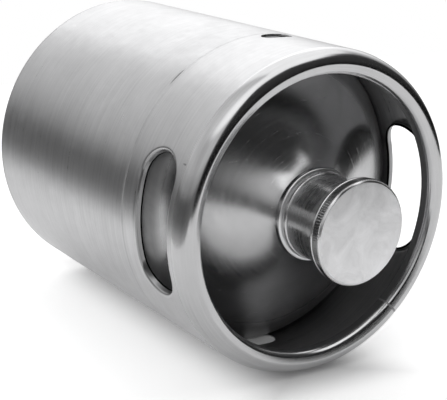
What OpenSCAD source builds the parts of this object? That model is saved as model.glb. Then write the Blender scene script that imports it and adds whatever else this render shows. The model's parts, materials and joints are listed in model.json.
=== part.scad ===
// Mini keg of brushed stainless steel, with a screw cap.
// It stands upright on its base: +Z runs up its axis, and the origin is the centre of the base.
// The two hand slots of the collar face +X and -X, and its two drain slots face +Y and -Y.
// Units are millimetres.

/* [Barrel] */
// Outside diameter of the barrel and of the handle collar
barrel_d = 174; // [150:1:210]
// Height of the weld that joins the barrel to the handle collar
seam_z = 151.5; // [120:0.5:220]
// Thickness of the sheet steel
wall = 1; // [0.8:0.1:1.4]
// Width of the ground weld between barrel and collar
weld_w = 1.6; // [1:0.1:2.4]

/* [Base] */
// Height of the base pan's raised centre above the floor
recess_h = 7; // [5.5:0.5:10]
// Width of the flat ring that the keg stands on
foot_w = 14; // [8:1:20]
// Radial width of the step from the foot ring up to the raised centre
step_w = 10; // [6:1:16]
// Outer bend radius of the base pan
pan_bend_r = 3; // [2.5:0.5:4]
// Height of the base pan's upturned edge, inside the barrel
pan_edge_h = 10; // [7:0.5:16]
// Height of the corner weld under the barrel
corner_weld_h = 2; // [1.4:0.1:2.4]

/* [Top head] */
// Outer bend radius of the head's shoulder
shoulder_r = 6.2; // [4.5:0.1:8]
// Height of the shoulder bend's centre above the weld
shoulder_rise = 1.6; // [1:0.1:4]
// Length of the head's straight edge below the shoulder
head_edge_h = 9; // [6:0.5:14]
// Height of the bell from the shoulder to the neck
bell_h = 48.6; // [40:0.2:60]
// Slope of the bell where it leaves the shoulder, in degrees
bell_foot_slope = 40; // [34:1:44]
// Slope of the bell where it meets the neck, in degrees
bell_top_slope = 64; // [55:1:70]
// Section radius of the bead round the neck hole
head_bead_r = 1.6; // [1.2:0.1:2]

/* [Handle collar] */
// Height of the rim above the weld
collar_h = 58; // [54:0.5:80]
// Section radius of the rim's outer side
roll_r = 7.7; // [5:0.1:9]
// Radial width of the rim
rim_w = 12.3; // [11:0.1:16]
// Section radius where the rim's flat top turns down inside
rim_edge_r = 2; // [1.5:0.1:3]
// Height of the rim's inner wall
rim_skirt_h = 9.2; // [8:0.1:12]
// Section radius of the hem along the rim's inner wall
hem_r = 1.2; // [1:0.1:1.5]
// Width of the butt weld across the rim
rim_weld_w = 1.2; // [0.8:0.1:2]
// Place of the butt weld round the rim, in degrees from +X
rim_weld_angle = 132; // [100:1:160]
// Length of each hand slot
slot_l = 77; // [60:1:84]
// Height of each hand slot
slot_h = 30; // [22:0.5:32]
// Height of the hand slots' middle above the weld
slot_rise = 27.8; // [24:0.2:31]
// How far the hand slots' turned-in edges reach in from the outside
slot_lip_d = 4.6; // [3:0.1:8]
// Length of each drain slot
drain_l = 18; // [12:0.5:26]
// Height of each drain slot
drain_h = 11; // [8:0.5:13]
// Height of the drain slots' middle above the weld
drain_rise = 8; // [7:0.2:14]

/* [Neck] */
// Outside diameter of the neck
neck_d = 45.2; // [42:0.2:50]
// Thickness of the neck's wall
neck_wall = 1.8; // [1.5:0.1:2.2]
// Height of the neck's lip above the head's bead
neck_h = 27.9; // [26:0.1:36]
// Length of the neck below the head's bead
neck_tail_h = 6; // [4:0.5:10]
// Rounding of the neck's lip
lip_round = 0.7; // [0.4:0.1:0.8]
// Section radius of the bead at the foot of the neck
neck_bead_r = 1.5; // [1.2:0.1:1.8]

/* [Cap] */
// Diameter of the cap over its knurled band
cap_d = 55; // [52:0.5:62]
// Height of the cap above its gasket
cap_h = 7.5; // [6.5:0.1:10]
// Width of the bevel round the cap's face
cap_bevel = 0.9; // [0.5:0.1:1.4]
// Width of the bevel under the knurled band
cap_under_bevel = 1.8; // [1:0.1:2.4]
// Number of ridges in the knurled band
knurl_count = 120; // [60:1:160]
// Depth of the knurled ridges
knurl_depth = 0.4; // [0.2:0.05:0.6]
// Length of the cap's hollow plug
plug_l = 15; // [14:0.5:20]
// Thickness of the plug's wall
plug_wall = 2.2; // [1.6:0.1:3]
// Thickness of the steel above the plug's hollow
cap_face_t = 4; // [3:0.5:5]
// Thickness of the gasket
gasket_t = 1; // [0.8:0.1:1.6]

/* [Screw thread] */
// Rise of the thread in one turn
pitch = 4; // [3.6:0.1:5]
// Radial depth of the threads on the neck and on the plug
thread_depth = 1.3; // [1:0.1:1.4]
// Width of a thread where it leaves its wall
thread_root_w = 1.5; // [1.2:0.1:1.6]
// Width of a thread at its crest
thread_crest_w = 0.7; // [0.4:0.1:1]
// Turns of the neck's thread
neck_turns = 2.25; // [1.5:0.25:2.5]
// Turns of the plug's thread
plug_turns = 1.75; // [1.25:0.25:2]
// Radial gap from a thread's crest to the wall facing it
thread_clear = 0.6; // [0.4:0.05:0.8]

/* [Hidden] */
$fn = 96;

// Gap between the gasket and each of the two faces that it seals
seat_gap = 0.1;
// Gap between the gasket's bore and the plug
gasket_clear = 0.3;
// How deep a thread's root reaches into the wall that carries it
thread_sink = 0.3;
// How far a cut runs past the surface it opens
overrun = 5;
// Gap between the underside of the corner weld and the floor
corner_weld_lift = 0.3;
// Rings of points in each turn of a thread
thread_steps = 40;
// Shares of its own length over which a thread runs out at each end, and of its depth at the very end
runout_share = 0.12;
runout_end_share = 0.2;
// Points along the bell, and how far its two handles reach as shares of its width
bell_steps = 18;
bell_foot_share = 0.24;
bell_top_share = 0.27;
// Height of the first thread ring above the plug's lower end, as a share of the pitch
plug_thread_lift_share = 0.5;

barrel_r = barrel_d / 2;
inside_r = barrel_r - wall;
neck_r = neck_d / 2;
bore_r = neck_r - neck_wall;
cap_r = cap_d / 2;

shoulder_z = seam_z + shoulder_rise;
rim_z = seam_z + collar_h;
neck_z = shoulder_z + bell_h;
lip_z = neck_z + neck_h;
gasket_z = lip_z + seat_gap;
cap_z = gasket_z + gasket_t + seat_gap;

plug_thread_r = bore_r - thread_clear;
plug_r = plug_thread_r - thread_depth;
plug_bore_r = plug_r - plug_wall;
plug_z = cap_z - plug_l;
plug_thread_z = plug_z + pitch * plug_thread_lift_share;

// The neck's thread runs half a pitch below the plug's, so that the two lie in mesh.
neck_thread_z = plug_thread_z - pitch / 2;

function at_angle(centre, r, a) = centre + r * [cos(a), sin(a)];
function arc(centre, r, a0, a1, n) = [for (i = [0 : n]) at_angle(centre, r, a0 + (a1 - a0) * i / n)];

function bezier(p, t) =
  pow(1 - t, 3) * p[0] + 3 * pow(1 - t, 2) * t * p[1] + 3 * (1 - t) * t * t * p[2] + t * t * t * p[3];
function bezier_way(p, t) =
  3 * (pow(1 - t, 2) * (p[1] - p[0]) + 2 * (1 - t) * t * (p[2] - p[1]) + t * t * (p[3] - p[2]));
function inwards(way, d) = d * [-way[1], way[0]] / norm(way);

// Outer curve of the bell, from the end of the shoulder bend to the bead at the neck
shoulder_centre = [inside_r - shoulder_r, shoulder_z];
shoulder_end_angle = 90 - bell_foot_slope;
bell_start = at_angle(shoulder_centre, shoulder_r, shoulder_end_angle);
bell_end = [neck_r + head_bead_r / 2, neck_z - head_bead_r / 2];
bell_w = bell_start[0] - bell_end[0];
bell_curve = [
  bell_start,
  bell_start + bell_w * bell_foot_share * [-cos(bell_foot_slope), sin(bell_foot_slope)],
  bell_end - bell_w * bell_top_share * [-cos(bell_top_slope), sin(bell_top_slope)],
  bell_end
];
bell_outside = [for (i = [0 : bell_steps]) bezier(bell_curve, i / bell_steps)];
bell_inside = [for (i = [bell_steps : -1 : 0])
  let (t = i / bell_steps) bezier(bell_curve, t) + inwards(bezier_way(bell_curve, t), wall)];

// A ring of rectangular section, from its lower face up
module ring(r_out, r_in, z0, z1) {
  translate([0, 0, z0]) difference() {
    cylinder(r = r_out, h = z1 - z0);
    translate([0, 0, -overrun]) cylinder(r = r_in, h = z1 - z0 + 2 * overrun);
  }
}

// A flat outline with round ends, centred
module round_ended(l, h) {
  square([l - h, h], center = true);
  for (side = [-1, 1]) translate([side * (l - h) / 2, 0]) circle(d = h);
}

// A punch with round ends that goes right through the collar along X
module punch(l, h, z) {
  translate([-barrel_r - overrun, 0, z]) rotate([90, 0, 90])
    linear_extrude(height = 2 * (barrel_r + overrun)) round_ended(l, h);
}

// One thread: a rib of four sides that climbs round the axis and runs out at both ends
module thread(root_r, crest_r, z0, turns) {
  steps = ceil(turns * thread_steps);
  function fade(t) = runout_end_share
    + (1 - runout_end_share) * min(1, t / runout_share, (1 - t) / runout_share);
  function rib(i) = let (
    t = i / steps,
    a = 360 * turns * t,
    z = z0 + pitch * turns * t,
    crest = root_r + (crest_r - root_r) * fade(t),
    side = crest_r > root_r ? 1 : -1,
    rw = side * thread_root_w / 2,
    cw = side * thread_crest_w / 2)
    [for (q = [[root_r, -rw], [crest, -cw], [crest, cw], [root_r, rw]])
      [q[0] * cos(a), q[0] * sin(a), z + q[1]]];
  points = [for (i = [0 : steps]) each rib(i)];
  sides = [for (i = [0 : steps - 1]) for (k = [0 : 3])
    let (a = 4 * i + k, b = 4 * i + (k + 1) % 4) each [[a, a + 4, b], [b, a + 4, b + 4]]];
  last = 4 * steps;
  ends = [[0, 1, 2], [0, 2, 3], [last, last + 2, last + 1], [last, last + 3, last + 2]];
  polyhedron(points = points, faces = concat(sides, ends), convexity = 8);
}

// Plain tube of sheet steel, from the corner weld up to the collar's weld
module barrel() {
  color("silver") ring(barrel_r, inside_r, corner_weld_h, seam_z - weld_w / 2);
}

// Pressed base: a flat foot ring, a raised centre and an upturned edge inside the barrel
module base_pan() {
  bend = [inside_r - pan_bend_r, pan_bend_r];
  foot_in_r = bend[0] - foot_w;
  step_in_r = foot_in_r - step_w;
  color("gainsboro") rotate_extrude() polygon(concat(
    [[0, recess_h], [step_in_r, recess_h], [foot_in_r, 0], [bend[0], 0]],
    arc(bend, pan_bend_r, -90, 0, 8),
    [[inside_r, pan_edge_h], [inside_r - wall, pan_edge_h]],
    arc(bend, pan_bend_r - wall, 0, -90, 8),
    [[foot_in_r + wall / 2, wall], [step_in_r + wall / 2, recess_h + wall], [0, recess_h + wall]]
  ));
}

// Weld that fills the corner between the barrel's lower edge and the base pan's bend
module base_weld() {
  color("darkgray") rotate_extrude() difference() {
    translate([inside_r - pan_bend_r, corner_weld_lift])
      square([pan_bend_r + wall, corner_weld_h - corner_weld_lift]);
    translate([inside_r - pan_bend_r, pan_bend_r]) circle(r = pan_bend_r);
  }
}

// Ground weld between the barrel and the handle collar
module collar_weld() {
  color("whitesmoke") ring(barrel_r, inside_r, seam_z - weld_w / 2, seam_z + weld_w / 2);
}

// Top of the vessel: a straight edge inside the barrel, a shoulder bend, a bell and a bead
module top_head() {
  color("gainsboro") difference() {
    rotate_extrude() union() {
      polygon(concat(
        [[inside_r, shoulder_z - head_edge_h]],
        arc(shoulder_centre, shoulder_r, 0, shoulder_end_angle, 8),
        bell_outside,
        bell_inside,
        arc(shoulder_centre, shoulder_r - wall, shoulder_end_angle, 0, 8),
        [[inside_r - wall, shoulder_z - head_edge_h]]
      ));
      translate([neck_r + head_bead_r / 4, neck_z]) circle(r = head_bead_r);
    }
    translate([0, 0, neck_z - bell_h]) cylinder(r = neck_r, h = 2 * bell_h);
  }
}

// Handle collar: a tube with two hand slots whose edges turn in, and two drain slots
module handle_collar() {
  z0 = seam_z + weld_w / 2;
  z1 = rim_z - roll_r;
  slot_z = seam_z + slot_rise;
  color("silver") difference() {
    union() {
      difference() {
        ring(barrel_r, inside_r, z0, z1);
        punch(slot_l + 2 * wall, slot_h + 2 * wall, slot_z);
      }
      intersection() {
        ring(barrel_r, barrel_r - slot_lip_d, z0, z1);
        punch(slot_l + 2 * wall, slot_h + 2 * wall, slot_z);
      }
    }
    punch(slot_l, slot_h, slot_z);
    rotate([0, 0, 90]) punch(drain_l, drain_h, seam_z + drain_rise);
  }
}

// Section of the rim: a strip that curves up from the collar's outer face to a narrow flat top
// and turns down inside to a hemmed inner wall
module roll_section() {
  rim_in_r = barrel_r - rim_w;
  hem_z = rim_z - rim_skirt_h + hem_r;
  outer_centre = [barrel_r - roll_r, rim_z - roll_r];
  edge_centre = [rim_in_r + rim_edge_r, rim_z - rim_edge_r];
  polygon(concat(
    arc(outer_centre, roll_r, 0, 90, 16),
    arc(edge_centre, rim_edge_r, 90, 180, 8),
    [[rim_in_r, hem_z], [rim_in_r + wall, hem_z]],
    arc(edge_centre, rim_edge_r - wall, 180, 90, 8),
    arc(outer_centre, roll_r - wall, 90, 0, 16)
  ));
  translate([rim_in_r + hem_r, hem_z]) circle(r = hem_r);
}

rim_weld_turn = rim_weld_w / barrel_r * 180 / PI;

// Rim, a bent strip that closes at its butt weld
module rim_roll() {
  color("silver") rotate([0, 0, rim_weld_angle + rim_weld_turn / 2])
    rotate_extrude(angle = 360 - rim_weld_turn) roll_section();
}

// Butt weld that closes the rim
module rim_weld() {
  color("darkgray") rotate([0, 0, rim_weld_angle - rim_weld_turn / 2])
    rotate_extrude(angle = rim_weld_turn) roll_section();
}

neck_bead_z = neck_z + head_bead_r + neck_bead_r;

// Neck: a turned tube with a rounded lip and a bead at its foot, which sits on the head
module neck_ferrule() {
  color("lightgray") rotate_extrude() difference() {
    union() {
      translate([bore_r, neck_z - neck_tail_h]) square([neck_wall, neck_h + neck_tail_h - lip_round]);
      translate([bore_r + lip_round, lip_z - lip_round]) square([neck_wall - 2 * lip_round, lip_round]);
      for (r = [bore_r + lip_round, neck_r - lip_round]) translate([r, lip_z - lip_round])
        circle(r = lip_round);
      translate([neck_r - neck_bead_r / 2, neck_bead_z]) circle(r = neck_bead_r);
    }
    translate([0, neck_z - neck_tail_h]) square([bore_r, neck_h + neck_tail_h]);
  }
}

// Weld in the groove between the head's bead and the neck's bead
module neck_weld() {
  color("darkgray") rotate_extrude() difference() {
    translate([neck_r, neck_z]) square([head_bead_r / 2, neck_bead_z - neck_z]);
    translate([neck_r + head_bead_r / 4, neck_z]) circle(r = head_bead_r);
    translate([neck_r - neck_bead_r / 2, neck_bead_z]) circle(r = neck_bead_r);
  }
}

// Thread inside the neck
module neck_thread() {
  color("lightgray") thread(bore_r + thread_sink, plug_r + thread_clear, neck_thread_z, neck_turns);
}

// Cap: a bevelled, knurled head on a hollow plug
module cap() {
  knurl_z0 = cap_z + cap_under_bevel;
  knurl_z1 = cap_z + cap_h - cap_bevel;
  // The bevels end just inside the knurl's grooves.
  core_r = cap_r - 2 * knurl_depth;
  color("lightgray") difference() {
    union() {
      translate([0, 0, cap_z]) cylinder(r1 = core_r - cap_under_bevel, r2 = core_r, h = cap_under_bevel);
      translate([0, 0, knurl_z0]) linear_extrude(height = knurl_z1 - knurl_z0)
        polygon([for (i = [0 : 2 * knurl_count - 1])
          at_angle([0, 0], cap_r - knurl_depth * (i % 2), i * 180 / knurl_count)]);
      translate([0, 0, knurl_z1]) cylinder(r1 = core_r, r2 = core_r - cap_bevel, h = cap_bevel);
      translate([0, 0, plug_z]) cylinder(r = plug_r, h = plug_l);
    }
    translate([0, 0, plug_z - overrun])
      cylinder(r = plug_bore_r, h = cap_z + cap_h - cap_face_t - plug_z + overrun);
  }
}

// Thread on the cap's plug
module cap_thread() {
  color("lightgray") thread(plug_r - thread_sink, plug_thread_r, plug_thread_z, plug_turns);
}

// Flat gasket between the neck's lip and the cap
module cap_gasket() {
  color("dimgray") ring(neck_r - lip_round / 2, plug_r + gasket_clear, gasket_z, gasket_z + gasket_t);
}

barrel();
base_pan();
base_weld();
collar_weld();
top_head();
handle_collar();
rim_roll();
rim_weld();
neck_ferrule();
neck_weld();
neck_thread();
cap();
cap_thread();
cap_gasket();
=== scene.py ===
# %% [markdown]
# # A mini keg of brushed steel, lying on a white table
#
# The keg is a small steel vessel for beer: a brushed barrel, a handle collar with two hand
# slots, a rolled rim, a bell-shaped top that sits inside the collar, a neck and a knurled
# screw cap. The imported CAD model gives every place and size. This script dresses it: each
# visible piece is modelled again with finer edges, and gets a steel of its own.
#
# The first cell loads that model. It stands upright, with +Z up its axis and its base on Z = 0.

# %% Load the fixed frame
import json
import math
from collections import namedtuple

import bmesh
import bpy
from mathutils import Matrix, Vector

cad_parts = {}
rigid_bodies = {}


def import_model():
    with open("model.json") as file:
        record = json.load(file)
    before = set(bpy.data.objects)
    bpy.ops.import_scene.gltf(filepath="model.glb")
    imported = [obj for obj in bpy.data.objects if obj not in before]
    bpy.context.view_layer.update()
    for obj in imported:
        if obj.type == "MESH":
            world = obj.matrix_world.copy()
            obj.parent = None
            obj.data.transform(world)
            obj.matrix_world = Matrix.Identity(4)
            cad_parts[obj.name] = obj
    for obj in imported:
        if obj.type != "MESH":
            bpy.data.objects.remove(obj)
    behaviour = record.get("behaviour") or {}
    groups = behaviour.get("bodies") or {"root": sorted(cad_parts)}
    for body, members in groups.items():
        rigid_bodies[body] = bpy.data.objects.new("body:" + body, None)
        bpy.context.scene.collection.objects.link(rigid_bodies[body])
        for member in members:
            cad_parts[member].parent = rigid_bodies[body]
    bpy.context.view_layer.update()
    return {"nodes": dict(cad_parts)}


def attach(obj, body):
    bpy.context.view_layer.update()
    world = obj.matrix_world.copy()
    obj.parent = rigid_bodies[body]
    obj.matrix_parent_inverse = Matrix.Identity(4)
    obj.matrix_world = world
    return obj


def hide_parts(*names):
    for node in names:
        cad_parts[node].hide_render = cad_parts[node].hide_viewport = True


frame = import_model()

MM = 0.001
print("CAD nodes:", ", ".join(sorted(frame["nodes"])))

# %% [markdown]
# The camera comes first, because it says which sides matter most. In the photograph the keg
# lies on its side and its cap points to the right of the camera. Here the keg stands and the
# camera lies over instead: its upward direction is close to -Y, so the table is the plane that
# touches the barrel on its +Y side. The long lens keeps the circles of the mouth nearly round.

# %% Camera at the photograph's place
CAMERA_PLACE = Vector((372.9, -174.7, 656.5)) * MM
CAMERA_RIGHT = Vector((-0.8288, -0.0413, 0.5580))
CAMERA_UP = Vector((-0.1220, -0.9599, -0.2523))
LENS_MM = 94.93

right = CAMERA_RIGHT.normalized()
up = (CAMERA_UP - right * right.dot(CAMERA_UP)).normalized()
back = right.cross(up)
bpy.ops.object.camera_add(location=CAMERA_PLACE)
camera = bpy.context.object
camera.name = "photo_camera"
turned_view = Matrix((right, up, back)).transposed().to_4x4()
camera.matrix_world = Matrix.Translation(CAMERA_PLACE) @ turned_view
camera.data.lens = LENS_MM
camera.data.sensor_width = 36
camera.data.clip_start = 0.01
bpy.context.scene.camera = camera
bpy.context.scene.view_settings.view_transform = "Standard"
print("camera", round(CAMERA_PLACE.length, 3), "m from the base's centre")

# %% [markdown]
# Nearly every piece of a keg is turned, rolled or spun, so it has the same section all the way
# round. A turner works from a profile gauge: half the section, drawn once. The next helpers do
# the same. One point is laid down, the outline is drawn from it with extrude, corner by corner,
# and spin carries the outline round the axis. That gives clean rings of quads, which carry a
# reflection without wobbles. All outlines are lists of (radius, height) in millimetres.

# %% Helpers for turned pieces
ROUND_STEPS = 256
SAME_POINT = 0.002 * MM
IN_SECTION = 0.05 * MM


def nothing_selected():
    if bpy.context.object and bpy.context.object.mode != "OBJECT":
        bpy.ops.object.mode_set(mode="OBJECT")
    bpy.ops.object.select_all(action="DESELECT")


def arc(centre, radius, start, end, steps):
    """Corners along an arc, angles in degrees."""
    turn = [math.radians(start + (end - start) * i / steps) for i in range(steps + 1)]
    return [(centre[0] + radius * math.cos(t), centre[1] + radius * math.sin(t)) for t in turn]


def drawn_outline(name, corners, place):
    """A closed outline drawn with extrude. place turns a corner of the list into a point."""
    nothing_selected()
    bpy.ops.mesh.primitive_plane_add(size=MM)
    piece = bpy.context.object
    piece.name = piece.data.name = name
    bpy.ops.object.mode_set(mode="EDIT")
    bpy.ops.mesh.select_all(action="SELECT")
    bpy.ops.mesh.merge(type="CENTER")
    points = [place(c) for c in corners]
    bpy.ops.transform.translate(value=points[0])
    for start, end in zip(points, points[1:] + points[:1]):
        bpy.ops.mesh.extrude_region_move(TRANSFORM_OT_translate={"value": end - start})
    bpy.ops.mesh.select_all(action="SELECT")
    bpy.ops.mesh.remove_doubles(threshold=SAME_POINT)
    return piece


def finished(piece, smooth_degrees=35):
    """Back to object mode, with smooth faces up to an angle and the place in the mesh."""
    if bpy.context.object.mode != "OBJECT":
        bpy.ops.object.mode_set(mode="OBJECT")
    nothing_selected()
    piece.select_set(True)
    bpy.context.view_layer.objects.active = piece
    bpy.ops.object.transform_apply(location=True, rotation=True, scale=True)
    bpy.ops.object.shade_smooth_by_angle(angle=math.radians(smooth_degrees))
    return piece


def close_section(piece, turn):
    """Close the open end that a part turn leaves at an angle round the axis."""
    mesh = bmesh.from_edit_mesh(piece.data)
    along = Vector((math.cos(turn), math.sin(turn), 0))
    across = Vector((-math.sin(turn), math.cos(turn), 0))

    def in_section(edge):
        return all(
            v.co.dot(along) > 0 and abs(v.co.dot(across)) < IN_SECTION for v in edge.verts)

    cut = [edge for edge in mesh.edges if edge.is_boundary and in_section(edge)]
    bmesh.ops.triangle_fill(mesh, edges=cut, use_beauty=True)
    bmesh.update_edit_mesh(piece.data)


def turned(name, corners, angle=360, start=0, smooth_degrees=35):
    """A closed outline of (radius, height) corners, spun round the keg's axis.

    Spin turns clockwise as seen from above, so a part turn ends at start - angle.
    """
    a = math.radians(start)
    piece = drawn_outline(
        name, corners, lambda c: Vector((c[0] * math.cos(a), c[0] * math.sin(a), c[1])) * MM
    )
    steps = max(2, round(ROUND_STEPS * angle / 360))
    bpy.ops.mesh.select_all(action="SELECT")
    bpy.ops.mesh.spin(steps=steps, angle=math.radians(angle), center=(0, 0, 0), axis=(0, 0, 1))
    bpy.ops.mesh.select_all(action="SELECT")
    bpy.ops.mesh.remove_doubles(threshold=SAME_POINT)
    if angle < 360:
        close_section(piece, a)
        close_section(piece, a - math.radians(angle))
        bpy.ops.mesh.select_all(action="SELECT")
    bpy.ops.mesh.normals_make_consistent(inside=False)
    finished(piece, smooth_degrees)
    print(name, len(piece.data.polygons), "faces")
    return piece


# %% [markdown]
# A gauge also says how far each corner is eased. In the lists below a third number rounds its
# corner: it is how far from the corner the rounding begins. Even a corner that looks sharp on
# a real keg catches a thin line of light, so hardly any corner stays unrounded.

# %% A helper for eased corners
def eased(corners, steps=4):
    """Corners of (radius, height), where a third number is the reach of a rounding."""
    done = []
    for i, corner in enumerate(corners):
        here = Vector(corner[:2])
        if len(corner) < 3:
            done.append(tuple(here))
            continue
        before = Vector(corners[i - 1][:2])
        after = Vector(corners[(i + 1) % len(corners)][:2])
        first = here + (before - here).normalized() * corner[2]
        last = here + (after - here).normalized() * corner[2]
        for k in range(steps + 1):
            t = k / steps
            done.append(tuple(first * (1 - t) ** 2 + here * 2 * t * (1 - t) + last * t * t))
    return done


# %% [markdown]
# ## Barrel and base
#
# The barrel is a tube rolled from 1 mm sheet. The base is a pressed pan whose edge turns up
# inside the tube, and a corner weld closes the groove between them. In the photograph the
# barrel's lower edge is sharp and slightly uneven, as a ground corner weld is.
#
# Some pieces that touch on a real keg are modelled a hair apart, so that their faces don't lie
# in one place.

# %% Barrel tube, base pan and their weld
BARREL_R = 87
SHEET = 1
INSIDE_R = BARREL_R - SHEET
HAIR = 0.02
SEAM_Z = 151.5
WELD_HALF = 0.8
CORNER_WELD_Z = 2
BARREL_FOOT_Z = CORNER_WELD_Z + 0.05
PAN_INSIDE_R = INSIDE_R - SHEET
PAN_BEND_R = 3
PAN_BEND = (INSIDE_R - PAN_BEND_R, PAN_BEND_R)
PAN_TOP_Z = 10
RAISED_R, RAISED_Z, FOOT_R = 59, 7, 69

barrel = turned("barrel_tube", eased([
    (BARREL_R, BARREL_FOOT_Z, 0.12), (BARREL_R, SEAM_Z - WELD_HALF, 0.12),
    (INSIDE_R, SEAM_Z - WELD_HALF), (INSIDE_R, BARREL_FOOT_Z)]))

base_pan = turned("base_pressing",
    eased([(0, RAISED_Z), (RAISED_R, RAISED_Z, 2.4), (FOOT_R, 0, 2.4), (PAN_BEND[0], 0)])
    + arc(PAN_BEND, PAN_BEND_R, -80, -10, 7)
    + eased([(INSIDE_R, PAN_BEND_R), (INSIDE_R, PAN_TOP_Z, 0.3),
        (PAN_INSIDE_R, PAN_TOP_Z, 0.3), (PAN_INSIDE_R, PAN_BEND_R)])
    + arc(PAN_BEND, PAN_BEND_R - SHEET, -10, -80, 6)
    + eased([(PAN_BEND[0], SHEET), (FOOT_R + 0.4, SHEET, 2),
        (RAISED_R + 0.6, RAISED_Z + SHEET, 2), (0, RAISED_Z + SHEET)]))

base_bead = turned("base_corner_bead",
    eased([(BARREL_R, CORNER_WELD_Z, 0.1), (BARREL_R, 0.3, 0.9), (84.4, 0.3)])
    + arc(PAN_BEND, PAN_BEND_R + HAIR, -64, -20, 6))

# %% [markdown]
# ## Top head
#
# The head is spun: a straight edge inside the barrel, a tight shoulder, and then a long bell
# that climbs to the neck. A spinner's former is one smooth curve, so the bell is one too, and
# two handles set its shape. The hole's edge is turned up into a bead, which shows as the first
# bright ring at the neck.

# %% The bell and its bead
SHOULDER = (79.8, 153.1)
SHOULDER_R = 6.2
BELL_FOOT_SLOPE, BELL_TOP_SLOPE = math.radians(40), math.radians(64)
BELL_FOOT_PULL, BELL_TOP_PULL = 0.24, 0.27
BELL_STEPS = 44
INNER_STEP = 4
NECK_R = 22.6
NECK_HOLE_R, NECK_HOLE_Z0, NECK_HOLE_Z1 = NECK_R + 0.03, 198.6, 203.2
HEAD_BEAD = (23.3, 201.45)
HEAD_BEAD_R = 1.9
HEAD_EDGE_Z = 144.1

bell_foot = Vector(arc(SHOULDER, SHOULDER_R, 50, 50, 1)[0])
bell_top = Vector((23.9, 200.0))
bell_width = bell_foot.x - bell_top.x
up_from_foot = Vector((-math.cos(BELL_FOOT_SLOPE), math.sin(BELL_FOOT_SLOPE)))
down_from_top = Vector((math.cos(BELL_TOP_SLOPE), -math.sin(BELL_TOP_SLOPE)))
bell_handles = (
    bell_foot + up_from_foot * bell_width * BELL_FOOT_PULL,
    bell_top + down_from_top * bell_width * BELL_TOP_PULL,
)


def bell(t):
    """A point of the bell's outer curve, from the shoulder at 0 to the neck at 1."""
    a, b = bell_handles
    return (bell_foot * (1 - t) ** 3 + a * 3 * t * (1 - t) ** 2
        + b * 3 * t * t * (1 - t) + bell_top * t ** 3)


outer_curve = [bell(i / BELL_STEPS) for i in range(BELL_STEPS + 1)]
inner_curve = []
for i in range(BELL_STEPS, -1, -INNER_STEP):
    t = i / BELL_STEPS
    way = (bell(min(1, t + 0.01)) - bell(max(0, t - 0.01))).normalized()
    inner_curve.append(bell(t) - Vector((way.y, -way.x)) * SHEET)

head = turned("bell_head", [(INSIDE_R - HAIR, HEAD_EDGE_Z)]
    + arc(SHOULDER, SHOULDER_R - HAIR, 0, 50, 12)
    + [tuple(p) for p in outer_curve[1:-1]]
    + arc(HEAD_BEAD, HEAD_BEAD_R, -42, 96, 16)
    + [(NECK_HOLE_R, NECK_HOLE_Z1), (NECK_HOLE_R, NECK_HOLE_Z0)]
    + [tuple(p) for p in inner_curve]
    + arc(SHOULDER, SHOULDER_R - SHEET, 50, 0, 8)[1:]
    + [(INSIDE_R - SHEET, HEAD_EDGE_Z)])

# %% [markdown]
# ## Neck
#
# The neck is turned from thick tube. A bead at its foot rests on the head's bead, and the weld
# between them is the fine dark line in the photograph. The lip above is rounded, so that the
# cap's gasket seals on it.

# %% Neck, its bead and the groove weld
NECK_BORE_R, NECK_FOOT_Z, LIP_Z, LIP_R = 20.8, 195.7, 229.6, 0.7
NECK_BEAD = (21.85, 204.8)
NECK_BEAD_R = 1.5
neck = turned("neck_tube",
    [(NECK_BORE_R, NECK_FOOT_Z), (NECK_R, NECK_FOOT_Z), (NECK_R, 203.3)]
    + arc(NECK_BEAD, NECK_BEAD_R, -58, 56, 14)
    + [(22.42, 206.12), (NECK_R, 206.55)]
    + arc((NECK_R - LIP_R, LIP_Z - LIP_R), LIP_R, 0, 90, 5)
    + arc((NECK_BORE_R + LIP_R, LIP_Z - LIP_R), LIP_R, 90, 180, 5))
neck_groove = turned("neck_groove_weld", [
    (NECK_R + HAIR, 203.02), (23.0, 203.16), (23.12, 203.32), (23.0, 203.46),
    (NECK_R + HAIR, 203.6)])

# %% [markdown]
# ## Rim
#
# The collar's upper edge is a strip that curves over to a narrow flat top, turns down inside
# and ends in a hem, so that a hand can carry the keg by it. Its ends meet in a butt weld, ground
# nearly flush: two fine lines across the rim. So the strip is spun almost all the way round,
# and the weld fills the gap, 0.2 mm lower than the strip. The top isn't quite flat here: it
# falls a little towards the inside, as a strip does that is rolled over a former. Each arc below
# goes on about where the one before ends, so that no kink shows in the section.

# %% Rolled rim and its butt weld
RIM_Z = 209.5
RIM_SIDE_R, RIM_BEND_R = 11.8, 6.2
RIM_FOOT_Z = RIM_Z - 9.8
RIM_SIDE = (BARREL_R - RIM_SIDE_R, RIM_FOOT_Z)
RIM_BEND = (BARREL_R - 7.52, RIM_Z - 6.21)
RIM_INSIDE_R = BARREL_R - 12.9
RIM_CROWN_R, RIM_EDGE_R, RIM_WALL_R = 2.5, 2.2, 5.5
RIM_CROWN = (BARREL_R - 7.16, RIM_Z - 2.53)
RIM_EDGE = (RIM_INSIDE_R + 3.17, RIM_Z - 2.82)
RIM_WALL = (RIM_INSIDE_R + RIM_WALL_R, RIM_Z - 5.15)
HEM_R = 1.2
HEM = (RIM_INSIDE_R + HEM_R, RIM_Z - 9.2 + HEM_R)
RIM_WELD_AT, RIM_WELD_WIDE, RIM_WELD_SUNK = 131.5, 0.9, 0.2


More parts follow.
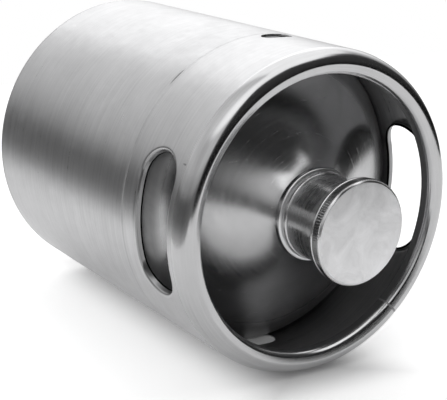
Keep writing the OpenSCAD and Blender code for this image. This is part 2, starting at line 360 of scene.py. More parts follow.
def roll_outline(lower=0):
    """The rim's section. With lower, its skin lies that much deeper all round."""
    return (arc(RIM_SIDE, RIM_SIDE_R - lower, 0, 38, 14)
        + arc(RIM_BEND, RIM_BEND_R - lower, 41, 83, 16)
        + arc(RIM_CROWN, RIM_CROWN_R - lower, 85, 107, 6)
        + arc(RIM_EDGE, RIM_EDGE_R - lower, 108, 132, 5)
        + arc(RIM_WALL, RIM_WALL_R - lower, 136, 180, 12)
        + arc(HEM, HEM_R - lower, 180, 400, 14)
        + arc(RIM_WALL, RIM_WALL_R - SHEET + lower, 180, 136, 6)
        + arc(RIM_EDGE, RIM_EDGE_R - SHEET + lower, 132, 108, 4)
        + arc(RIM_BEND, RIM_BEND_R - SHEET + lower, 83, 41, 8)
        + arc(RIM_SIDE, RIM_SIDE_R - SHEET + lower, 38, 0, 7))


half_weld = RIM_WELD_WIDE / 2
rim = turned("rim_tube", roll_outline(),
    angle=360 - RIM_WELD_WIDE, start=RIM_WELD_AT - half_weld)
rim_weld = turned("rim_butt_weld", roll_outline(RIM_WELD_SUNK),
    angle=RIM_WELD_WIDE, start=RIM_WELD_AT + half_weld)

# %% [markdown]
# ## Handle collar
#
# The collar carries on the barrel's tube above a ground weld. Two hand slots are pressed
# through it with their edges turned inwards, so that they don't cut a hand, and two small
# slots at its foot let water run off the head.
#
# A sheet with slots is easiest to make flat. Each quarter of the collar is drawn as its slot's
# outline, which grows outwards ring by ring until it meets the quarter's straight edges, and
# inwards over the turned edge. Then the flat sheet is rolled up, the four quarters are joined,
# and Solidify gives the sheet its thickness. The rings keep the faces small and even near the
# slot, which is where a reflection would show a careless mesh.

# %% One flat quarter of the collar
COLLAR_Z0, COLLAR_Z1 = SEAM_Z + WELD_HALF, RIM_FOOT_Z
QUARTER = math.pi / 4 * BARREL_R
SIDE_STEPS = 14
POINT_GAP = 1.6
RING_GROWTH = 1.25
ON_OUTLINE = 0.01
TINY, FAR_OFF = 1e-6, 1e9


def slot_outline(straight, end_r, middle_z, fans):
    """Points round a slot, placed so that the last ring meets the quarter's corners exactly.

    straight is half the slot's straight side, and fans says how many steps the two corners of
    the quarter get below and above the slot's end.
    """
    reach = QUARTER - straight
    above, below = COLLAR_Z1 - middle_z, COLLAR_Z0 - middle_z
    turns = [math.atan2(below, reach * i / fans[0]) for i in range(fans[0])]
    rise = (above - below) / SIDE_STEPS
    turns += [math.atan2(below + rise * i, reach) for i in range(SIDE_STEPS)]
    turns += [math.atan2(above, reach * (1 - i / fans[1])) for i in range(fans[1] + 1)]
    end = [(straight + end_r * math.cos(t), middle_z + end_r * math.sin(t)) for t in turns]
    along = max(2, round(2 * straight / POINT_GAP))
    top = [(straight - 2 * straight * i / along, middle_z + end_r) for i in range(1, along)]
    bottom = [(-s, 2 * middle_z - z) for s, z in top]
    return end + top + [(-s, z) for s, z in reversed(end)] + bottom


def slot_quarter(name, facing, straight, end_r, middle_z, fans, rings, turned_in):
    """A quarter of the collar round one slot. turned_in lists (offset, depth) of its edge."""
    piece = drawn_outline(name, slot_outline(straight, end_r, middle_z, fans),
        lambda c: Vector((c[0], 0, c[1])) * MM)

    def spine(co):
        """The nearest point of the slot's middle line, and the way from it to a place."""
        s, z = co.x / MM, co.z / MM
        m = Vector((min(straight, max(-straight, s)), middle_z))
        return m, (Vector((s, z)) - m).normalized()

    def to_border(m, way):
        """How far the quarter's border is from the middle line in that way."""
        ways = []
        if abs(way.x) > TINY:
            ways.append((QUARTER - abs(m.x)) / abs(way.x) if m.x * way.x >= 0 else FAR_OFF)
        if abs(way.y) > TINY:
            ways.append(((COLLAR_Z1 if way.y > 0 else COLLAR_Z0) - middle_z) / way.y)
        return min(ways)

    def grow(place):
        bpy.ops.mesh.extrude_region_move(TRANSFORM_OT_translate={"value": (0, 0, 0)})
        mesh = bmesh.from_edit_mesh(piece.data)
        for v in mesh.verts:
            if v.select:
                v.co = place(v.co)
        bmesh.update_edit_mesh(piece.data)

    for k in range(1, rings + 1):
        share = (k / rings) ** RING_GROWTH

        def outwards(co):
            m, way = spine(co)
            at = m + way * (end_r + (to_border(m, way) - end_r) * share)
            return Vector((at.x, 0, at.y)) * MM

        grow(outwards)

    bpy.ops.mesh.select_all(action="DESELECT")
    mesh = bmesh.from_edit_mesh(piece.data)
    for v in mesh.verts:
        m, way = spine(v.co)
        if abs((Vector((v.co.x, v.co.z)) / MM - m).length - end_r) < ON_OUTLINE:
            v.select = True
    mesh.select_flush(True)
    bmesh.update_edit_mesh(piece.data)
    for offset, depth in turned_in:

        def inwards(co):
            m, way = spine(co)
            at = m + way * (end_r - offset)
            return Vector((at.x, -depth, at.y)) * MM

        grow(inwards)

    mesh = bmesh.from_edit_mesh(piece.data)
    for v in mesh.verts:
        a = math.radians(facing) + v.co.x / (BARREL_R * MM)
        r = BARREL_R * MM + v.co.y
        v.co = Vector((r * math.cos(a), r * math.sin(a), v.co.z))
    bmesh.update_edit_mesh(piece.data)
    return finished(piece)


# %% [markdown]
# The hand slots face +X and -X, the drain slots +Y and -Y. The hand slots' edge first bends in
# through a quarter circle and then runs on straight into the collar. Once the sheet has its
# thickness, the sharp corners that are left along the cut edges get a small bevel.

# %% Four quarters, joined, thickened and eased
SLOT_Z, DRAIN_Z = SEAM_Z + 27.8, SEAM_Z + 8
SLOT_STRAIGHT, SLOT_END_R = 23.5, 15
DRAIN_STRAIGHT, DRAIN_END_R = 3.5, 5.5
SLOT_EASE = 1.9
BEND_TURNS = (12, 24, 36, 48, 60, 70, 80, 90)
EDGE_DEPTHS = (2.5, 3.2, 3.9, 4.5)
SHARP = math.radians(55)
CUT_BEVEL = 0.28
COLLAR_END = 0.3

turned_edge = [
    (SLOT_EASE * math.sin(math.radians(a)), SLOT_EASE * (1 - math.cos(math.radians(a))))
    for a in BEND_TURNS
] + [(SLOT_EASE, depth) for depth in EDGE_DEPTHS]

quarters = []
for turn in (0, 180):
    quarters.append(slot_quarter(f"collar_hand_{turn}", turn, straight=SLOT_STRAIGHT,
        end_r=SLOT_END_R + SLOT_EASE, middle_z=SLOT_Z, fans=(22, 20), rings=20,
        turned_in=turned_edge))
    quarters.append(slot_quarter(f"collar_drain_{turn}", turn + 90, straight=DRAIN_STRAIGHT,
        end_r=DRAIN_END_R, middle_z=DRAIN_Z, fans=(30, 22), rings=26, turned_in=[]))

nothing_selected()
for quarter in quarters:
    quarter.select_set(True)
bpy.context.view_layer.objects.active = quarters[0]
bpy.ops.object.join()
collar = bpy.context.object
collar.name = collar.data.name = "collar_sheet"
bpy.ops.object.mode_set(mode="EDIT")
bpy.ops.mesh.select_all(action="SELECT")
bpy.ops.mesh.remove_doubles(threshold=ON_OUTLINE * MM)
bpy.ops.mesh.normals_make_consistent(inside=False)
bpy.ops.object.mode_set(mode="OBJECT")
outward = sum(p.area * p.normal.dot(Vector((p.center.x, p.center.y, 0)).normalized())
    for p in collar.data.polygons)
if outward < 0:
    bpy.ops.object.mode_set(mode="EDIT")
    bpy.ops.mesh.select_all(action="SELECT")
    bpy.ops.mesh.flip_normals()
    bpy.ops.object.mode_set(mode="OBJECT")

sheet = collar.modifiers.new("sheet", "SOLIDIFY")
sheet.thickness = SHEET * MM
sheet.offset = -1
sheet.use_even_offset = True
bpy.ops.object.modifier_apply(modifier=sheet.name)

bpy.ops.object.mode_set(mode="EDIT")
bpy.ops.mesh.select_all(action="DESELECT")
mesh = bmesh.from_edit_mesh(collar.data)
for e in mesh.edges:
    heights = [v.co.z / MM for v in e.verts]
    inner_edge = COLLAR_Z0 + COLLAR_END < min(heights) and max(heights) < COLLAR_Z1 - COLLAR_END
    if inner_edge and len(e.link_faces) == 2 and e.calc_face_angle(0) > SHARP:
        e.select_set(True)
bmesh.update_edit_mesh(collar.data)
bpy.ops.mesh.bevel(offset=CUT_BEVEL * MM, segments=2)
finished(collar)
print("collar_sheet", len(collar.data.polygons), "faces")

collar_weld = turned("collar_weld_ring", eased([
    (INSIDE_R, SEAM_Z - WELD_HALF), (BARREL_R - HAIR, SEAM_Z - WELD_HALF, 0.1),
    (BARREL_R - HAIR, SEAM_Z + WELD_HALF, 0.1), (INSIDE_R, SEAM_Z + WELD_HALF)]))

# %% [markdown]
# ## Cap
#
# The cap is turned in one piece with its hollow plug. Its face is bead-blasted, the band round
# it is knurled, and the flange below the band is left bright from the lathe. The body is turned
# like the other pieces. The knurl is a ring of its own: a plain circle is extruded out to 120
# ridges, and the ring is extruded up to its height. Two cuts just inside its ends let the ends
# be drawn in a little.

# %% Cap body, knurled band and gasket
CAP_Z, CAP_TOP = 230.8, 238.3
KNURL_Z0, KNURL_Z1 = 232.9, 237.4
KNURL_CORE_R, CAP_R = 27.02, 27.5
KNURL_INSIDE_R, KNURL_END_R = 26.4, KNURL_CORE_R + 0.12
KNURL_GAP, KNURL_END_CUT = 0.05, 0.3
RIDGE_R, RIDGE_SIDE_R, VALLEY_R = CAP_R, CAP_R - 0.16, KNURL_CORE_R + 0.06
KNURL_RIDGES = 120
POINTS_ROUND = KNURL_RIDGES * 4
FLANGE_R, FLANGE_Z0, FLANGE_Z1 = 27.3, 231.2, 232.5
PLUG_R, PLUG_BORE_R, PLUG_Z, PLUG_ROOF_Z = 18.9, 16.7, 215.8, 234.3

cap = turned("cap_body", eased([
    (0, CAP_TOP), (26.15, CAP_TOP, 0.14),
    (KNURL_CORE_R, KNURL_Z1, 0.1), (KNURL_CORE_R, KNURL_Z0, 0.05), (26.6, KNURL_Z0 - 0.15, 0.05),
    (FLANGE_R, FLANGE_Z1, 0.6), (FLANGE_R, FLANGE_Z0, 0.6), (25.8, CAP_Z, 0.2),
    (PLUG_R, CAP_Z), (PLUG_R, PLUG_Z, 0.3), (PLUG_BORE_R, PLUG_Z, 0.3),
    (PLUG_BORE_R, PLUG_ROOF_Z, 0.8), (0, PLUG_ROOF_Z)]), smooth_degrees=25)

nothing_selected()
bpy.ops.mesh.primitive_circle_add(vertices=POINTS_ROUND, radius=KNURL_INSIDE_R * MM,
    location=(0, 0, (KNURL_Z0 + KNURL_GAP) * MM))
knurl = bpy.context.object
knurl.name = knurl.data.name = "cap_knurl"
bpy.ops.object.mode_set(mode="EDIT")
bpy.ops.mesh.select_all(action="SELECT")
bpy.ops.mesh.extrude_region_move(TRANSFORM_OT_translate={"value": (0, 0, 0)})
mesh = bmesh.from_edit_mesh(knurl.data)
ridge_radii = (RIDGE_R, RIDGE_SIDE_R, VALLEY_R, RIDGE_SIDE_R)
for v in mesh.verts:
    if v.select:
        step = round(math.atan2(v.co.y, v.co.x) / (2 * math.pi) * POINTS_ROUND)
        flat = Vector((v.co.x, v.co.y, 0)).normalized() * ridge_radii[step % 4] * MM
        v.co.x, v.co.y = flat.x, flat.y
bmesh.update_edit_mesh(knurl.data)
bpy.ops.mesh.select_all(action="SELECT")
bpy.ops.mesh.extrude_region_move(
    TRANSFORM_OT_translate={"value": (0, 0, (KNURL_Z1 - KNURL_Z0 - 2 * KNURL_GAP) * MM)})
for height in (KNURL_Z0 + KNURL_END_CUT, KNURL_Z1 - KNURL_END_CUT):
    bpy.ops.mesh.select_all(action="SELECT")
    bpy.ops.mesh.bisect(plane_co=(0, 0, height * MM), plane_no=(0, 0, 1))
bpy.ops.object.mode_set(mode="OBJECT")
finished(knurl)
for v in knurl.data.vertices:
    flat = Vector((v.co.x, v.co.y))
    at_end = min(abs(v.co.z / MM - KNURL_Z0), abs(v.co.z / MM - KNURL_Z1)) < 2 * KNURL_GAP
    if at_end and flat.length > (KNURL_INSIDE_R + 0.2) * MM:
        flat = flat.normalized() * min(flat.length, KNURL_END_R * MM)
        v.co.x, v.co.y = flat
bpy.ops.object.mode_set(mode="EDIT")
bpy.ops.mesh.select_all(action="SELECT")
bpy.ops.mesh.normals_make_consistent(inside=False)
finished(knurl, 20)
print("cap_knurl", len(knurl.data.polygons), "faces")

GASKET_BORE_R, GASKET_R, GASKET_Z0, GASKET_Z1 = 19.2, 22.2, 229.7, 230.7
gasket = turned("gasket_ring", eased([
    (GASKET_BORE_R, GASKET_Z0), (GASKET_R, GASKET_Z0, 0.25), (GASKET_R, GASKET_Z1, 0.25),
    (GASKET_BORE_R, GASKET_Z1)]))

# %% [markdown]
# ## Helpers for node materials
#
# Every material below is worked out from a point's place on the keg, through Object coordinates
# in metres, so it needs no images. A few helpers keep the node trees short: add makes a node and
# links its inputs, math does one sum, shifted moves a value where a mask says so, and ramp and
# blend set tones.

# %% Helpers for nodes
class Nodes:
    """A node tree under construction. Inputs may be numbers, colours or other nodes' outputs."""

    def __init__(self, tree):
        self.tree = tree

    def add(self, kind, inputs=None, out=0, **settings):
        node = self.tree.nodes.new(kind)
        for key, value in settings.items():
            setattr(node, key, value)
        for key, value in (inputs or {}).items():
            socket = node.inputs[key]
            if isinstance(value, bpy.types.NodeSocket):
                self.tree.links.new(value, socket)
            else:
                socket.default_value = value
        return node.outputs[out]

    def math(self, operation, *values):
        return self.add("ShaderNodeMath", dict(enumerate(values)), operation=operation)

    def shifted(self, value, mask, amount):
        """value + mask * amount"""
        return self.math("ADD", value, self.math("MULTIPLY", mask, amount))

    def both(self, mask, other):
        """1 where both masks are 1."""
        return self.math("MULTIPLY", mask, other)

    def noise(self, place, scale, detail, **more):
        return self.add("ShaderNodeTexNoise",
            {"Vector": place, "Scale": scale, "Detail": detail, **more})

    def centred(self, noise):
        """A noise round 0, in place of round 0.5."""
        return self.math("SUBTRACT", noise, 0.5)

    def ramp(self, value, stops, interpolation="EASE"):
        """A brightness ramp. stops lists (place, shade)."""
        node = self.tree.nodes.new("ShaderNodeValToRGB")
        node.color_ramp.interpolation = interpolation
        elements = node.color_ramp.elements
        while len(elements) < len(stops):
            elements.new(0.5)
        for element, (place, shade) in zip(elements, stops):
            element.position = place
            element.color = grey(shade)
        self.tree.links.new(value, node.inputs["Fac"])
        return node.outputs["Color"]

    def blend(self, factor, a, b, kind="RGBA"):
        """a where the factor is 0, b where it is 1."""
        node = self.tree.nodes.new("ShaderNodeMix")
        node.data_type = kind
        sockets = {"RGBA": (6, 7, 2), "FLOAT": (2, 3, 0)}[kind]
        for socket, value in ((0, factor), (sockets[0], a), (sockets[1], b)):
            if isinstance(value, bpy.types.NodeSocket):
                self.tree.links.new(value, node.inputs[socket])
            else:
                node.inputs[socket].default_value = value
        return node.outputs[sockets[2]]


def grey(value):
    return (value, value, value, 1)


# %% [markdown]
# ## Steel
#
# All the steel is one alloy, and its pieces differ in how they were finished. A belt leaves
# long fine lines round the barrel and the collar. These lines spread a highlight along the keg's
# axis and keep it narrow across it, which is what the photograph's long bands show. The shader
# gets that from its anisotropy, with a tangent that runs round the axis, and the lines
# themselves from a noise that is squeezed hard along the axis and hardly at all round it.
#
# On top of that come the marks of use: soft stains, that change the tone by a few parts in a
# hundred, pits, and a few long hairline scratches. Their strengths are the numbers below.

# %% One function for every steel
Place = namedtuple("Place", "x y z radius")
BUMP_DEPTH = 0.00003
BUMP_STRENGTH = 0.35
QUARTER_TURN = 0.25
SPECK = [(0.0, 1.0), (0.035, 0.6), (0.07, 0.0)]
HAIRLINE = [(0.0, 0.0), (0.496, 0.0), (0.5, 1.0), (0.504, 0.0), (1.0, 0.0)]


def steel(name, tone, rough, aniso=0.0, lines=0.4, line_fine=2600, stain=0.06, pits=0.3,
        scratches=0.5, wave=0.0, extra=None):
    """A steel. aniso: how much its lines stretch a highlight, lines: their depth, line_fine:
    how close they lie, stain: how much the tone varies, pits and scratches: how strong the
    marks are, wave: depth of soft dents, extra: a function for what only this piece has."""
    material = bpy.data.materials.new(name)
    material.use_nodes = True
    tree = material.node_tree
    n = Nodes(tree)
    shader = tree.nodes["Principled BSDF"]
    place = n.add("ShaderNodeTexCoord", out=3)
    split = tree.nodes.new("ShaderNodeSeparateXYZ")
    tree.links.new(place, split.inputs[0])
    x, y, z = split.outputs
    radius = n.math("SQRT", n.math("ADD", n.math("MULTIPLY", x, x), n.math("MULTIPLY", y, y)))
    across = n.math("SUBTRACT", z, n.math("MULTIPLY", radius, 2.0))

    def lines_at(round_scale, fine):
        where = n.add("ShaderNodeCombineXYZ", {0: n.math("MULTIPLY", x, round_scale),
            1: n.math("MULTIPLY", y, round_scale), 2: n.math("MULTIPLY", across, fine)})
        return n.noise(where, 1.0, 3, Roughness=0.6)

    fine_lines = n.math("MULTIPLY", lines_at(38, line_fine), 0.5)
    brush = n.shifted(fine_lines, lines_at(16, line_fine / 4), 0.5)
    stains = n.noise(place, 34.0, 5.0, Roughness=0.62, Distortion=0.6)
    clouds = n.noise(place, 210.0, 3.0)
    cell = n.add("ShaderNodeTexVoronoi", {"Vector": place, "Scale": 95.0, "Randomness": 1.0})
    pit = n.math("MULTIPLY", n.ramp(cell, SPECK), pits)
    hair_place = n.add("ShaderNodeMapping", {"Vector": place, "Rotation": (0.5, 0.9, 0.35),
        "Scale": (9.0, 60.0, 24.0)})
    hair = n.ramp(n.noise(hair_place, 1.0, 1.5), HAIRLINE, "LINEAR")
    worn = n.ramp(stains, [(0.45, 0.0), (0.6, 1.0)])
    scratch = n.both(hair, n.math("MULTIPLY", worn, scratches))
    marks = n.math("ADD", pit, scratch)

    tone_value = n.shifted(tone, n.centred(stains), stain * 2)
    tone_value = n.shifted(tone_value, n.centred(brush), 0.5 * lines)
    tone_value = n.shifted(tone_value, pit, -0.25)
    tone_value = n.shifted(tone_value, scratch, 0.05)
    rough_value = n.shifted(rough, n.centred(brush), 0.9 * rough)
    rough_value = n.shifted(rough_value, n.centred(clouds), 0.35 * rough)
    rough_value = n.shifted(rough_value, marks, 0.1)
    height = n.shifted(n.math("MULTIPLY", brush, lines), marks, -0.6)
    if wave:
        height = n.shifted(height, n.noise(place, 26.0, 1.0), wave)
    if extra:
        where = Place(x, y, z, radius)
        tone_value, rough_value, height = extra(n, where, tone_value, rough_value, height)
    tint = n.add("ShaderNodeCombineColor", {0: tone_value, 1: tone_value,
        2: n.math("MULTIPLY", tone_value, 1.012)})
    tree.links.new(tint, shader.inputs["Base Color"])
    tree.links.new(rough_value, shader.inputs["Roughness"])
    bump = n.add("ShaderNodeBump",
        {"Height": height, "Strength": BUMP_STRENGTH, "Distance": BUMP_DEPTH})
    tree.links.new(bump, shader.inputs["Normal"])
    shader.inputs["Metallic"].default_value = 1
    if aniso:
        shader.inputs["Anisotropic"].default_value = aniso
        shader.inputs["Anisotropic Rotation"].default_value = QUARTER_TURN
        tangent = n.add("ShaderNodeTangent", direction_type="RADIAL", axis="Z")
        tree.links.new(tangent, shader.inputs["Tangent"])
    return material


# %% [markdown]
# Some pieces need something of their own, which a small function adds to the steel's tone,
# roughness and height:
#
# - The barrel has a dark flaw beside the collar weld, and the collar a short tick below the rim.
# - The collar's inside has painted shade, and its slots' rougher cut edges darker painted shade.
# - The rim's inner wall below the crown is dull, and darkened as painted shade.
# - The head's bead is rougher, lighter as painted highlight; the bell's foot has painted shade.
# - The weld across the rim is darker than the others.
# - The cap has a blasted, cloudy face.

# %% What only one piece has
WELD_FLAW = dict(angle=-50.5, height=150.2, degrees_long=9, tall=2.4)
COLLAR_TICK = dict(angle=-23.5, height=199.0, degrees_long=0.8, tall=5)
# The collar's painted shade: its inside below the first radius, its cut edges below the second.
COLLAR_SHADE_INSIDE_R, CUT_EDGE_SHADE_R = BARREL_R - 0.6, BARREL_R - 3.5
# The rim's painted shade covers the inner wall inside this radius and below this height.
INNER_WALL_R, INNER_WALL_Z = 81, 205.6
INNER_WALL_SHADE_TONE, INNER_WALL_ROUGH = 0.16, 0.5
# The head's bead gets a painted highlight, and its bell's foot a painted shade between two radii.
BRIGHT_BEAD_R, BRIGHT_BEAD_Z = 24.8, 200.2
BEAD_HIGHLIGHT_TONE, BRIGHT_BEAD_ROUGH = 0.8, 0.34
FOOT_SHADE_FROM_R, FOOT_SHADE_FULL_R = 71, 77
RIM_WELD_FROM_R = 50
FACE_Z = CAP_TOP - 0.06
FACE_TONE, FACE_ROUGH = 0.84, 0.40


def mark_at(n, where, angle, height, degrees_long, tall):
    """A soft spot at an angle and height on the barrel: 1 in its middle, 0 outside."""
    turn = n.math("MULTIPLY", n.math("ARCTAN2", where.y, where.x), 180 / math.pi)
    aside = n.math("DIVIDE", n.math("SUBTRACT", turn, angle), degrees_long / 2)
    above = n.math("DIVIDE", n.math("SUBTRACT", where.z, height * MM), tall * MM / 2)
    far = n.math("ADD", n.math("MULTIPLY", aside, aside), n.math("MULTIPLY", above, above))
    return n.ramp(far, [(0.0, 1.0), (1.0, 0.0)])


def weld_flaw(n, where, tone, rough, height):
    flaw = mark_at(n, where, **WELD_FLAW)
    return n.shifted(tone, flaw, -0.28), n.shifted(rough, flaw, 0.15), height


def collar_tick_and_painted_shade(n, where, tone, rough, height):
    tick = mark_at(n, where, **COLLAR_TICK)
    # Painted shade: the inside skin and the turned edges are darkened, the deep cut edges more.
    inside = n.math("LESS_THAN", where.radius, COLLAR_SHADE_INSIDE_R * MM)
    cut_edge_shade = n.math("LESS_THAN", where.radius, CUT_EDGE_SHADE_R * MM)
    tone = n.shifted(n.shifted(tone, inside, -0.22), cut_edge_shade, -0.42)
    rough = n.shifted(rough, cut_edge_shade, 0.2)
    return n.shifted(tone, tick, -0.3), n.shifted(rough, tick, 0.1), height


def rim_painted_shade(n, where, tone, rough, height):
    # Painted shade: the inner wall below the crown takes a dark tone; it is also made dull.
    shaded_inner_wall = n.both(n.math("LESS_THAN", where.radius, INNER_WALL_R * MM),
        n.math("LESS_THAN", where.z, INNER_WALL_Z * MM))
    return (n.blend(shaded_inner_wall, tone, INNER_WALL_SHADE_TONE, "FLOAT"),
        n.blend(shaded_inner_wall, rough, INNER_WALL_ROUGH, "FLOAT"), height)


def head_painted_highlight_and_shade(n, where, tone, rough, height):
    # Painted highlight: the bead takes a lighter tone than the bell's steel; it is also rougher.
    bead = n.both(n.math("LESS_THAN", where.radius, BRIGHT_BEAD_R * MM),
        n.math("GREATER_THAN", where.z, BRIGHT_BEAD_Z * MM))
    # Painted shade: the bell's foot darkens towards the collar, and is also made rougher.
    foot = n.ramp(n.math("MULTIPLY", where.radius, 10.0),
        [(FOOT_SHADE_FROM_R * MM * 10, 0.0), (FOOT_SHADE_FULL_R * MM * 10, 1.0)])
    tone, rough = n.shifted(tone, foot, -0.24), n.shifted(rough, foot, 0.25)
    return (n.blend(bead, tone, BEAD_HIGHLIGHT_TONE, "FLOAT"),
        n.blend(bead, rough, BRIGHT_BEAD_ROUGH, "FLOAT"), height)


def weld_finishes(n, where, tone, rough, height):
    on_rim = n.both(n.math("GREATER_THAN", where.z, RIM_FOOT_Z * MM),
        n.math("GREATER_THAN", where.radius, RIM_WELD_FROM_R * MM))
    return n.shifted(tone, on_rim, -0.2), rough, height


def cap_finishes(n, where, tone, rough, height):
    on_face = n.math("GREATER_THAN", where.z, FACE_Z * MM)
    place = n.add("ShaderNodeCombineXYZ", {0: where.x, 1: where.y, 2: where.z})
    cloud = n.centred(n.noise(place, 70.0, 5.0, Roughness=0.65, Distortion=0.8))
    grain = n.math("MULTIPLY", n.noise(place, 2600.0, 2.0), 1.2)
    return (n.blend(on_face, tone, n.shifted(FACE_TONE, cloud, 0.7), "FLOAT"),
        n.blend(on_face, rough, n.shifted(FACE_ROUGH, cloud, 0.2), "FLOAT"),
        n.blend(on_face, height, grain, "FLOAT"))


# %% [markdown]
# Now each finish gets its numbers: tone is how bright the steel is, and rough how dull. The
# barrel and the collar are brushed hardest, and the rim is nearly polished.

# %% The steels
FINISHES = {
    "barrel_steel": dict(tone=0.62, rough=0.33, aniso=0.88, lines=0.8, stain=0.1,
        extra=weld_flaw),
    "collar_steel": dict(tone=0.62, rough=0.33, aniso=0.86, lines=0.8, stain=0.1,
        extra=collar_tick_and_painted_shade),
    "head_steel": dict(tone=0.57, rough=0.235, aniso=0.3, lines=0.25, line_fine=1500,
        stain=0.14, pits=0.35, scratches=0.3, wave=2.4, extra=head_painted_highlight_and_shade),
    "rim_steel": dict(tone=0.57, rough=0.17, aniso=0.4, lines=0.5, line_fine=1900, pits=0.1,
        scratches=0.2, wave=1.2, extra=rim_painted_shade),
    "neck_steel": dict(tone=0.66, rough=0.28, aniso=0.8, lines=0.3, line_fine=1700, pits=0.1),
    "cap_steel": dict(tone=0.72, rough=0.2, lines=0.3, line_fine=2400, pits=0.0,
        scratches=0.2, extra=cap_finishes),
    "knurl_steel": dict(tone=0.60, rough=0.24, lines=0.2, stain=0.1),
    "base_steel": dict(tone=0.60, rough=0.28, aniso=0.4, lines=0.4, line_fine=1500, wave=1.0),
    "weld_steel": dict(tone=0.56, rough=0.44, lines=0.2, line_fine=900, stain=0.12, pits=0.8,
        wave=4.0, extra=weld_finishes),
}
LOOKS = {name: steel(name, **finish) for name, finish in FINISHES.items()}
print("steels:", ", ".join(LOOKS))

# %% [markdown]
# The gasket is black food-grade rubber: matt, with a faint bloom and the fine grain of its mould.

# %% Gasket rubber
rubber = bpy.data.materials.new("gasket_rubber")
rubber.use_nodes = True
n = Nodes(rubber.node_tree)
shader = rubber.node_tree.nodes["Principled BSDF"]
place = n.add("ShaderNodeTexCoord", out=3)
bloom = n.noise(place, 160.0, 4.0)
grain = n.noise(place, 3000.0, 2.0)
for value, socket in (
    (n.ramp(bloom, [(0.35, 0.012), (0.7, 0.035)]), "Base Color"),
    (n.ramp(bloom, [(0.3, 0.55), (0.7, 0.75)]), "Roughness"),
    (n.add("ShaderNodeBump", {"Height": grain, "Strength": 0.3, "Distance": 0.00005}), "Normal"),
):
    rubber.node_tree.links.new(value, shader.inputs[socket])
LOOKS["gasket_rubber"] = rubber

# %% [markdown]
# Each modelled piece now takes the place of its CAD node, rides with its moving body and gets
# its material. The two threads stay as the CAD made them, and only change their steel.

# %% Pieces, bodies and materials
PIECES = {
    "vessel": [
        (barrel, "barrel", "barrel_steel"), (base_pan, "base_pan", "base_steel"),
        (base_bead, "base_weld", "weld_steel"), (head, "top_head", "head_steel"),
        (neck, "neck_ferrule", "neck_steel"), (neck_groove, "neck_weld", "weld_steel"),
        (rim, "rim_roll", "rim_steel"), (rim_weld, "rim_weld", "weld_steel"),
        (collar, "handle_collar", "collar_steel"), (collar_weld, "collar_weld", "weld_steel")],
    "gasket": [(gasket, "cap_gasket", "gasket_rubber")],
    "cap": [(cap, "cap", "cap_steel"), (knurl, "cap", "cap_steel")],
}
for body, members in PIECES.items():
    for piece, node_name, slot_name in members:
        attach(piece, body)
        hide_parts(node_name)
        piece.data.materials.clear()
        piece.data.materials.append(LOOKS["knurl_steel" if piece is knurl else slot_name])
for node_name, look in (("neck_thread", "neck_steel"), ("cap_thread", "cap_steel")):
    for thread in bpy.data.objects:
        if thread.type == "MESH" and thread.name.startswith(node_name):
            for slot in thread.material_slots:
                slot.material = LOOKS[look]
            print(thread.name, "takes", look, "in", len(thread.material_slots), "slot")

# %% [markdown]
# ## Studio
#
# Polished metal shows its surroundings more than itself, so the studio decides the likeness.
# The photograph's reflections tell what stood round the keg. Behind it a large white panel
# hangs up to the left, which burns the upper barrel out. In front, on the cap's side, the room
# is dark between the table and the ceiling lights: that gives the black bands on the rim and
# the dark well. To the right the white table ends about 15 cm from the keg, and beyond its edge
# lies the dark band that runs along the barrel.
#
# The world shader paints these surroundings by direction, for light and for reflections. The
# camera alone sees plain white in its place. "Height" below is the angle above the table
# (towards -Y) and "turn" is the angle round the keg as seen from above, where 0 points along -Z.
# Both are listed in degrees. ROOM gives the walls' light by turn. CEILING_FROM says from which
# height the ceiling begins at each turn, and CEILING_LIGHT how bright it is. LOW_LIGHT dims a
# band round the horizon, where the room's far floor lies. A colour ramp holds no value above 1,
# so light is kept as a share of the brightest, and the background's strength restores it.

# %% World: the room by direction
world = bpy.data.worlds.new("studio")
bpy.context.scene.world = world
world.use_nodes = True
tree = world.node_tree
n = Nodes(tree)
split = tree.nodes.new("ShaderNodeSeparateXYZ")
tree.links.new(n.add("ShaderNodeTexCoord", out=0), split.inputs[0])
x, y, z = split.outputs
height = n.math("DIVIDE", n.math("ARCSINE", n.math("MULTIPLY", y, -1.0)), math.pi)
height = n.math("ADD", height, 0.5)
left, ahead = n.math("MULTIPLY", x, -1.0), n.math("MULTIPLY", z, -1.0)
turn = n.math("DIVIDE", n.math("ARCTAN2", left, ahead), 2 * math.pi)
turn = n.math("ADD", turn, 0.5)


def at_height(degrees):
    return 0.5 + degrees / 180


def at_turn(degrees):
    return 0.5 + degrees / 360


BRIGHTEST = 2.0
ROOM = [
    (-180, 0.03), (-161, 0.03), (-151, 0.74), (-130, 0.70), (-100, 0.55), (-60, 0.70),
    (-40, 0.78), (-24, 0.80), (-19, 0.72), (-13, 0.70), (-5, 1.05), (2, 1.90), (36, 1.90),
    (54, 1.3), (70, 0.6), (82, 0.05), (180, 0.04)]
CEILING_FROM = [
    (-180, 68), (-163, 66), (-150, 42), (70, 40), (95, 52), (128, 52), (152, 66), (180, 68)]
CEILING_LIGHT = [(-180, 1.45), (-112, 1.45), (-84, 0.85), (-16, 0.72), (2, 1.40), (180, 1.45)]
LOW_LIGHT = [(-26, 1.0), (-8, 0.22), (1, 0.17), (10, 0.62), (22, 1.0)]
CEILING_SOFTNESS = 10


def light_by_turn(stops):
    return n.ramp(turn, [(at_turn(a), light / BRIGHTEST) for a, light in stops])


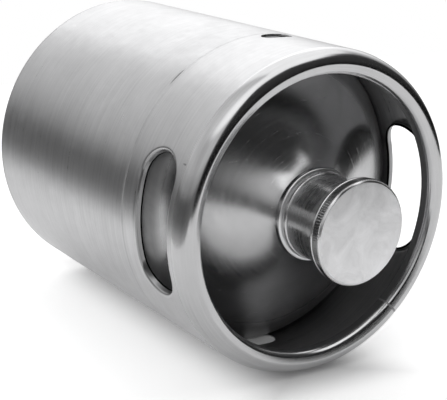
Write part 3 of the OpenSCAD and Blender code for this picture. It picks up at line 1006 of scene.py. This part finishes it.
room = light_by_turn(ROOM)
ceiling_from = n.ramp(turn, [(at_turn(a), at_height(h)) for a, h in CEILING_FROM])
above_edge = n.math("MULTIPLY", n.math("SUBTRACT", height, ceiling_from), 180 / CEILING_SOFTNESS)
ceiling = n.ramp(n.math("ADD", above_edge, 0.5), [(0.0, 0.0), (1.0, 1.0)])
ceiling_light = light_by_turn(CEILING_LIGHT)
above = n.blend(ceiling, room, ceiling_light)
low_light = n.ramp(height, [(at_height(h), share) for h, share in LOW_LIGHT])
around = n.add("ShaderNodeVectorMath", {0: above, 1: low_light}, operation="MULTIPLY")
background = tree.nodes["Background"]
tree.links.new(around, background.inputs["Color"])
background.inputs["Strength"].default_value = BRIGHTEST
plain_white = n.add("ShaderNodeBackground", {"Color": grey(1.0), "Strength": 1.0})
is_camera = n.add("ShaderNodeLightPath", out=0)
shown = n.add("ShaderNodeMixShader", {0: is_camera, 1: background.outputs[0], 2: plain_white})
tree.links.new(shown, tree.nodes["World Output"].inputs["Surface"])

# %% [markdown]
# The table is a thin white sheet just below the barrel's +Y side. It takes the keg's soft
# shadow. A little light of its own lifts the part outside the shadow to pure white, as in the
# photograph: most of that light is for the camera alone, so that the keg isn't lit from below.
# Close to the keg that light fades out, or the shadow would be too pale. Seen from below, the
# sheet lets the camera look through.

# %% Table
bpy.ops.mesh.primitive_plane_add(size=1)
table = bpy.context.object
table.name = "white_table"
TABLE_CORNERS = [(-0.9, -0.6), (0.09, -0.6), (-0.9, 0.7), (0.41, 0.7)]
TABLE_GAP = 0.15
GLOW_EVERYWHERE, GLOW_IN_THE_OPEN, GLOW_FOR_CAMERA = 0.06, 0.12, 0.32
for corner, (across_x, along_z) in zip(table.data.vertices, TABLE_CORNERS):
    corner.co = (across_x, (BARREL_R + TABLE_GAP) * MM, along_z)
table.data.update()
if table.data.polygons[0].normal.y > 0:
    table.data.flip_normals()
sheet_white = bpy.data.materials.new("table_white")
sheet_white.use_nodes = True
tree = sheet_white.node_tree
n = Nodes(tree)
shader = tree.nodes["Principled BSDF"]
shader.inputs["Base Color"].default_value = grey(0.88)
shader.inputs["Roughness"].default_value = 1
shader.inputs["Specular IOR Level"].default_value = 0
shader.inputs["Emission Color"].default_value = grey(1)
clear = n.add("ShaderNodeBsdfTransparent")
seen = n.add("ShaderNodeLightPath", out=0)
aside = tree.nodes.new("ShaderNodeSeparateXYZ")
tree.links.new(n.add("ShaderNodeTexCoord", out=3), aside.inputs[0])


def beyond(value, start, end):
    """0 up to start, 1 from end on, in metres."""
    return n.ramp(value, [(start, 0.0), (end, 1.0)])


beside = beyond(n.math("ABSOLUTE", aside.outputs[0]), 0.012, 0.06)
in_front = beyond(aside.outputs[2], 0.205, 0.24)
behind = beyond(n.math("MULTIPLY", aside.outputs[2], -1.0), 0.0, 0.035)
clear_of_keg = n.math("MAXIMUM", beside, n.math("MAXIMUM", in_front, behind))
glow = n.both(clear_of_keg, n.shifted(GLOW_IN_THE_OPEN, seen, GLOW_FOR_CAMERA))
glow = n.math("ADD", glow, GLOW_EVERYWHERE)
tree.links.new(glow, shader.inputs["Emission Strength"])
from_below = n.both(n.add("ShaderNodeNewGeometry", out=6), seen)
surface = n.add("ShaderNodeMixShader", {0: from_below, 1: shader.outputs[0], 2: clear})
tree.links.new(surface, tree.nodes["Material Output"].inputs["Surface"])
table.data.materials.append(sheet_white)
print("table", [round(v, 3) for v in table.dimensions])
